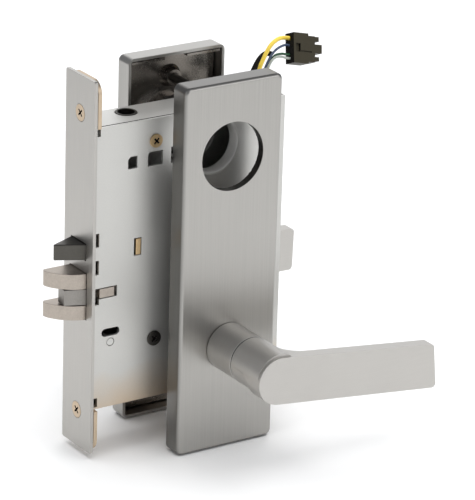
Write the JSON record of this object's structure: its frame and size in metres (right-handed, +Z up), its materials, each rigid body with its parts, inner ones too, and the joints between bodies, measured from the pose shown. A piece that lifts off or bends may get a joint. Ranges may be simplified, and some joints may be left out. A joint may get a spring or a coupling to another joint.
{
  "type": "electrified mortise lock",
  "caption": "Electrified mortise lock case with an armour front, a sprung latch, an auxiliary latch, and a long escutcheon and lever on each side of the door.",
  "frame": {"origin": "centre of the armour front's outer face, which lies flush with the door's edge", "axes": "+X into the door from its edge, +Y from the outside of the door to the inside, +Z up"},
  "size_m": [0.2022, 0.167, 0.2094],
  "materials": {
    "satin_front": "satin brushed, grain up and down",
    "satin_trim": "satin brushed, grain up and down",
    "lever_metal": "satin brushed along the lever",
    "case_steel": "bright plated sheet steel",
    "zinc_plate": "warm zinc plate, matt",
    "latch_steel": "warm satin, cast then ground",
    "dark_steel": "dark oxide, semi-matt",
    "brass": "plain brass",
    "bright_steel": "bright nickel",
    "coil_wrap": "wrapped coil, matt black",
    "black_rubber": "matt black",
    "connector_nylon": "moulded, dark brown-black",
    "wire_yellow": "insulation, semi-gloss",
    "wire_blue": "insulation, semi-gloss",
    "wire_green": "insulation, semi-gloss",
    "wire_white": "insulation, semi-gloss"
  },
  "bodies": {
    "lock_frame": {"armour_front": "satin_front", "auxiliary_spring_anchor": "dark_steel", "case_body": "case_steel", "case_cover": "case_steel", "case_top_collar": "bright_steel", "connector_housing": "connector_nylon", "cover_clip": "brass", "cover_post_lower": "dark_steel", "cover_post_upper": "dark_steel", "cover_screw_brass": "brass", "cover_screw_steel": "dark_steel", "cylinder_cam_block": "dark_steel", "front_screw_bottom": "zinc_plate", "front_screw_top": "zinc_plate", "inner_front_plate": "zinc_plate", "inside_cylinder_ring": "case_steel", "inside_escutcheon": "satin_trim", "inside_mount_plate": "case_steel", "inside_neck_collar": "lever_metal", "inside_spring_cage": "dark_steel", "latch_side_guide": "latch_steel", "latch_spring_anchor": "dark_steel", "lower_mount_post": "bright_steel", "lower_through_bolt": "dark_steel", "outside_cylinder_ring": "case_steel", "outside_escutcheon": "satin_trim", "outside_mount_plate": "case_steel", "outside_neck_collar": "lever_metal", "outside_spring_cage": "dark_steel", "reversing_pin": "bright_steel", "solenoid_bracket": "case_steel", "solenoid_coil": "coil_wrap", "upper_mount_post": "bright_steel", "upper_through_bolt": "dark_steel", "wire_black": "black_rubber", "wire_blue": "wire_blue", "wire_green": "wire_green", "wire_grommet": "black_rubber", "wire_white": "wire_white", "wire_yellow": "wire_yellow"},
    "inside_handle": {"inside_lever": "lever_metal", "inside_set_screw": "dark_steel", "inside_spindle": "bright_steel", "inside_hub": "dark_steel"},
    "outside_handle": {"outside_lever": "lever_metal", "outside_set_screw": "dark_steel", "outside_spindle": "bright_steel", "outside_hub": "dark_steel"},
    "latch": {"latch_bolt": "latch_steel", "tongue_pin": "bright_steel", "latch_tail": "latch_steel", "latch_spring": "bright_steel"},
    "tongue": {"latch_tongue": "dark_steel"},
    "auxiliary": {"auxiliary_latch": "dark_steel", "auxiliary_spring": "bright_steel"},
    "lock_control": {"solenoid_plunger": "bright_steel", "locking_slide": "zinc_plate", "solenoid_spring": "bright_steel"}
  },
  "joints": [
    {"name": "inside_lever_turn", "type": "hinge", "parent": "lock_frame", "child": "inside_handle", "pos_m": [0.0709, 0, -0.0476], "axis": [0, 1, 0], "range_deg": [0, 45], "stiffness_Nm_per_rad": 0.9, "springref_deg": -28.65},
    {"name": "outside_lever_turn", "type": "hinge", "parent": "lock_frame", "child": "outside_handle", "pos_m": [0.0709, 0, -0.0476], "axis": [0, 1, 0], "range_deg": [0, 45], "stiffness_Nm_per_rad": 0.9, "springref_deg": -28.65},
    {"name": "latch_bolt_slide", "type": "slide", "parent": "lock_frame", "child": "latch", "axis": [1, 0, 0], "range_m": [0, 0.019], "stiffness_N_per_m": 150, "springref_m": -0.006, "deforming": ["latch_spring"]},
    {"name": "latch_tongue_turn", "type": "hinge", "parent": "latch", "child": "tongue", "pos_m": [0.009, -0.0025, -0.0158], "axis": [0, 0, -1], "range_deg": [0, 14], "stiffness_Nm_per_rad": 0.05, "springref_deg": -11.46},
    {"name": "auxiliary_latch_slide", "type": "slide", "parent": "lock_frame", "child": "auxiliary", "axis": [1, 0, 0], "range_m": [0, 0.0135], "stiffness_N_per_m": 200, "springref_m": -0.006, "deforming": ["auxiliary_spring"]},
    {"name": "locking_slide_lift", "type": "slide", "parent": "lock_frame", "child": "lock_control", "axis": [0, 0, 1], "range_m": [0, 0.004], "stiffness_N_per_m": 400, "springref_m": -0.004, "deforming": ["solenoid_spring"]}
  ],
  "couplings": [
    {"joint": "latch_bolt_slide", "follows": "inside_lever_turn", "m_per_rad": 0.024191}
  ]
}
